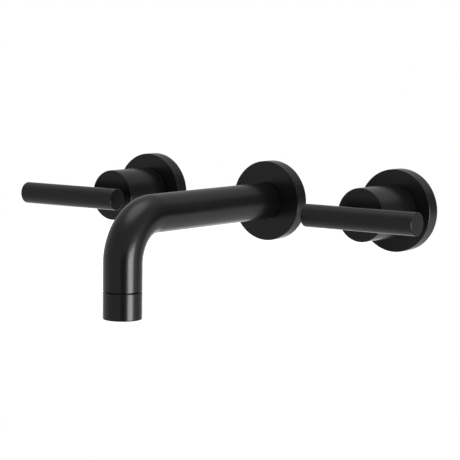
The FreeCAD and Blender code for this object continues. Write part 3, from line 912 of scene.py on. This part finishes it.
def wire(bm, reach, offset, thick, crest, pitch, phase, across):
    """One wire of a plain weave, over and under its neighbours."""
    steps = max(2, round(2 * reach / pitch * 4))
    rows = []
    for step in range(steps + 1):
        along = -reach + 2 * reach * step / steps
        height = crest * math.cos(math.pi * along / pitch) * phase
        row = []
        for a in even(WIRE_SIDES):
            side, lift = offset + thick * math.cos(a), height + thick * math.sin(a)
            row.append(bm.verts.new((side, along, lift) if across else (along, side, lift)))
        rows.append(row)
    for here, there in zip(rows, rows[1:]):
        for i in range(WIRE_SIDES):
            bm.faces.new((here[i - 1], here[i], there[i], there[i - 1]))
    bm.faces.new(rows[0])
    bm.faces.new(reversed(rows[-1]))


def aerator_screens(node):
    """Two woven stainless screens in pressed rims."""
    at = span(node)
    thickness = 0.3
    thick, pitch, rim = thickness / 4, 0.9, 0.5
    bm = bmesh.new()
    for middle in (at.bottom + thickness / 2, at.top - thickness / 2):
        weave = bmesh.new()
        count = int((at.r - rim) / pitch)
        for k in range(-count, count + 1):
            offset = k * pitch
            reach = math.sqrt((at.r - rim / 2) ** 2 - offset ** 2)
            for across in (False, True):
                phase = (-1) ** (k + across)
                wire(weave, reach, offset, thick, thick, pitch, phase, across)
        bmesh.ops.recalc_face_normals(weave, faces=weave.faces)
        mesh = bpy.data.meshes.new("weave")
        weave.to_mesh(mesh)
        weave.free()
        mesh.transform(Matrix.Translation((0, 0, middle)))
        bm.from_mesh(mesh)
        bpy.data.meshes.remove(mesh)
        turned(section(
            (at.r - rim, middle - thickness / 2, 0.05), (at.r, middle - thickness / 2, 0.05),
            (at.r, middle + thickness / 2, 0.05), (at.r - rim, middle + thickness / 2, 0.05),
        ), bm=bm)
    return bm


def aerator_grid(node):
    """Honeycomb that calms the stream."""
    at = span(node)
    pitch, key, reach = 2.0, 1.7, at.r - 0.4
    corner = key / 2 / math.cos(TAU / 12)
    holes = []
    rows = int(reach / pitch) + 2
    for j in range(-rows, rows + 1):
        for i in range(-rows, rows + 1):
            x, y = pitch * math.sqrt(0.75) * j, pitch * (i + j / 2)
            if math.hypot(x, y) + key * 0.58 <= reach:
                holes.append(circle(corner, 6, x, y))
    return perforated(circle(at.r, 120), holes, at.bottom, at.top)


# ================================================================ assembly
VALVE = {
    "cover_plate": valve_plate,
    "cover_gasket": foam_gasket,
    "retaining_nut": retaining_nut,
    "cartridge_body": cartridge_body,
    "cartridge_washer": fibre_washer,
    "inlet_seal": inlet_seal,
    "thrust_washer": thrust_washer,
    "stem": stem,
    "stem_o_rings": stem_o_rings,
    "circlip": circlip,
    "spline_adapter": spline_adapter,
    "adapter_screw": adapter_screw,
    "handle_hub": handle_hub,
    "hub_grub_screw": grub_screw,
    "lever_post": lever_post,
    "lever_screw": lever_screw,
    "lever_rod": lever_rod,
}
SPOUT = {
    "spout_cover_plate": spout_plate,
    "spout_cover_gasket": foam_gasket,
    "spout_cover_o_ring": spout_cover_o_ring,
    "spout_nipple": spout_nipple,
    "spout_nipple_washer": fibre_washer,
    "spout_nipple_o_rings": spout_nipple_o_rings,
    "spout_tube": spout_tube,
    "spout_grub_screw": grub_screw,
}
OUTLET = {
    "outlet_spigot": outlet_spigot,
    "outlet_sleeve": outlet_sleeve,
    "aerator_washer": aerator_washer,
    "aerator_housing": aerator_housing,
    "aerator_diffuser": aerator_diffuser,
    "aerator_screens": aerator_screens,
    "aerator_grid": aerator_grid,
}
HALF_TURN = ("lever_rod", "cartridge_body")   # how the cold valve's copies are handed
MIRRORED = ("stem",)


def build_object():
    for side in SIDES:
        axis = span(side + "cover_plate").x
        for name, draw in VALVE.items():
            bm = draw(side + name)
            if side == "cold_" and name in HALF_TURN:
                moved(bm, Matrix.Rotation(math.pi, 4, "Z"))
            if side == "cold_" and name in MIRRORED:
                moved(bm, Matrix.Scale(-1, 4, (1, 0, 0)))
                bmesh.ops.reverse_faces(bm, faces=bm.faces)
            finished(bm, side + name, x=axis)
        for name in ("fixed_disc", "moving_disc"):
            for material_slot in frame["nodes"][side + name].material_slots:
                material_slot.material = MATERIALS["ceramic"]
    for name, draw in SPOUT.items():
        finished(draw(name), name)
    tube = span("spout_tube")
    for name, draw in OUTLET.items():
        finished(draw(name), name, upright_at=tube.front - tube.r)


# ================================================================ studio
BRIGHTEST = 2.0           # highest radiance in the room
FLOOR_GLOW = 0.6
ROOM_CENTRE = Vector((0, -0.08, -0.02))
# (elevation in degrees, radiance)
BEHIND = ((-40, 0.62), (-6, 0.60), (10, 0.52), (37, 0.38), (58, 0.5), (78, 2.0))
AHEAD = ((-60, 0.30), (-5, 0.40), (20, 0.38), (60, 0.36), (80, 2.0))
# (azimuth, elevation, angle where the fall starts, angle where it ends), in degrees
FRONT_ROOM = (20, 0, 45, 105)
FRONT_FLAG, FRONT_FLAG_GREY = (46, -6, 11, 23), 0.01
REAR_FLAG, REAR_FLAG_GREY = (143, 12, 8, 28), 0.06
VIEW_AZIMUTH, VIEW_ELEVATION, VIEW_ROLL = 36.52, 6.08, 0.67
VIEW_DISTANCE = 1294.6
VIEW_TARGET = (-1.15, -48.6, -16.96)
FOCAL_LENGTH, SENSOR_WIDTH = 153.5, 36.0


def towards(azimuth_deg, elevation_deg):
    """Unit vector; azimuth 0 is straight in front of the wall and 90 is +X."""
    azimuth, elevation = math.radians(azimuth_deg), math.radians(elevation_deg)
    return Vector((
        math.sin(azimuth) * math.cos(elevation), -math.cos(azimuth) * math.cos(elevation),
        math.sin(elevation),
    ))


def camera():
    """Long lens at the front right, a little above the spout."""
    azimuth = math.radians(VIEW_AZIMUTH)
    back = towards(VIEW_AZIMUTH, VIEW_ELEVATION)
    level = Vector((math.cos(azimuth), math.sin(azimuth), 0))
    right = Matrix.Rotation(math.radians(VIEW_ROLL), 3, back) @ level
    lens = bpy.data.cameras.new("camera")
    lens.lens = FOCAL_LENGTH
    lens.sensor_width = SENSOR_WIDTH
    lens.clip_start, lens.clip_end = 0.01, 50.0
    thing = bpy.data.objects.new("camera", lens)
    axes = Matrix((right, back.cross(right), back)).transposed()
    place = Vector(VIEW_TARGET) * MM + back * (VIEW_DISTANCE * MM)
    thing.matrix_world = Matrix.Translation(place) @ axes.to_4x4()
    bpy.context.scene.collection.objects.link(thing)
    bpy.context.scene.camera = thing


def softbox(name, azimuth, elevation, distance, width, height, radiance):
    """Rectangular light that faces the middle of the room."""
    light = bpy.data.lights.new(name, "AREA")
    light.shape = "RECTANGLE"
    light.size, light.size_y = width, height
    light.energy = radiance * math.pi * width * height
    thing = bpy.data.objects.new(name, light)
    direction = towards(azimuth, elevation)
    thing.location = ROOM_CENTRE + direction * distance
    thing.rotation_euler = direction.to_track_quat("Z", "Y").to_euler()
    bpy.context.scene.collection.objects.link(thing)


def grey(level):
    return (level, level, level, 1)


def lobe(tree, direction, azimuth, elevation, start_deg, end_deg):
    """Falls from 1 to 0 between two angles from a direction."""
    facing = tree.nodes.new("ShaderNodeVectorMath")
    facing.operation = "DOT_PRODUCT"
    facing.inputs[1].default_value = towards(azimuth, elevation)
    tree.links.new(direction, facing.inputs[0])
    fall = tree.nodes.new("ShaderNodeMapRange")
    fall.interpolation_type = "SMOOTHSTEP"
    fall.inputs["From Min"].default_value = math.cos(math.radians(end_deg))
    fall.inputs["From Max"].default_value = math.cos(math.radians(start_deg))
    tree.links.new(facing.outputs["Value"], fall.inputs["Value"])
    return fall.outputs["Result"]


def sky(tree, direction, steps):
    """Grey levels by elevation; each step is (degrees, radiance), up to BRIGHTEST."""
    split = tree.nodes.new("ShaderNodeSeparateXYZ")
    tree.links.new(direction, split.inputs["Vector"])
    height = tree.nodes.new("ShaderNodeMapRange")
    height.inputs["From Min"].default_value = -1.0
    tree.links.new(split.outputs["Z"], height.inputs["Value"])
    ramp = tree.nodes.new("ShaderNodeValToRGB")
    ramp.color_ramp.interpolation = "EASE"
    stops = ramp.color_ramp.elements
    while len(stops) < len(steps):
        stops.new(0.5)
    for i, (degrees, radiance) in enumerate(steps):
        stops[i].position = (math.sin(math.radians(degrees)) + 1) / 2
        stops[i].color = grey(radiance / BRIGHTEST)
    tree.links.new(height.outputs["Result"], ramp.inputs["Fac"])
    return ramp.outputs["Color"]


def blend(tree, share, first, second):
    """Mixes two colours or colour outputs; share is how much of the second shows."""
    mix = tree.nodes.new("ShaderNodeMix")
    mix.data_type = "RGBA"
    for socket_name, value in (("Factor_Float", share), ("A_Color", first), ("B_Color", second)):
        entry = next(s for s in mix.inputs if s.identifier == socket_name)
        if isinstance(value, bpy.types.NodeSocket):
            tree.links.new(value, entry)
        else:
            entry.default_value = value
    return next(s for s in mix.outputs if s.identifier == "Result_Color")


def surroundings():
    """Room that is brightest overhead, with a dark flag in front and another at the back right.

    Camera rays see plain white instead.
    """
    world = bpy.data.worlds.new("studio")
    bpy.context.scene.world = world
    world.use_nodes = True
    tree = world.node_tree
    nodes, links = tree.nodes, tree.links
    nodes.clear()
    direction = nodes.new("ShaderNodeTexCoord").outputs["Generated"]
    behind, ahead = sky(tree, direction, BEHIND), sky(tree, direction, AHEAD)
    room = blend(tree, lobe(tree, direction, *FRONT_ROOM), behind, ahead)
    room = blend(tree, lobe(tree, direction, *FRONT_FLAG), room, grey(FRONT_FLAG_GREY))
    room = blend(tree, lobe(tree, direction, *REAR_FLAG), room, grey(REAR_FLAG_GREY))
    light = nodes.new("ShaderNodeBackground")
    light.inputs["Strength"].default_value = BRIGHTEST
    links.new(room, light.inputs["Color"])
    backdrop = nodes.new("ShaderNodeBackground")
    path = nodes.new("ShaderNodeLightPath")
    mix = nodes.new("ShaderNodeMixShader")
    links.new(path.outputs["Is Camera Ray"], mix.inputs["Fac"])
    links.new(light.outputs["Background"], mix.inputs[1])
    links.new(backdrop.outputs["Background"], mix.inputs[2])
    backdrop.inputs["Color"].default_value = grey(1)
    out = nodes.new("ShaderNodeOutputWorld")
    links.new(mix.outputs["Shader"], out.inputs["Surface"])


def pale_floor():
    """Luminous white floor behind the wall plane, below and to the left of the faucet."""
    left, right, front, depth, drop = -1.7, -0.12, 0.2, 1.6, 0.24
    bm = bmesh.new()
    corners = ((left, front), (right, front), (right, front + depth), (left, front + depth))
    bm.faces.new([bm.verts.new((x, y, -drop)) for x, y in corners])
    mesh = bpy.data.meshes.new("floor")
    bm.to_mesh(mesh)
    bm.free()
    floor = bpy.data.objects.new("floor", mesh)
    bpy.context.scene.collection.objects.link(floor)
    material, tree, surface = shader("pale_floor")
    white = tint(tree, grain(tree, 3.0), (0.93, 0.93, 0.93), (0.95, 0.95, 0.95))
    tree.links.new(white, surface.inputs["Base Color"])
    tree.links.new(white, surface.inputs["Emission Color"])
    surface.inputs["Emission Strength"].default_value = FLOOR_GLOW
    surface.inputs["Roughness"].default_value = 0.9
    mesh.materials.append(material)


build_object()
camera()
surroundings()
pale_floor()
softbox("side_softbox", azimuth=81.5, elevation=-8, distance=1.1, width=0.57, height=0.66, radiance=8.5)
bpy.context.scene.view_settings.view_transform = "Standard"
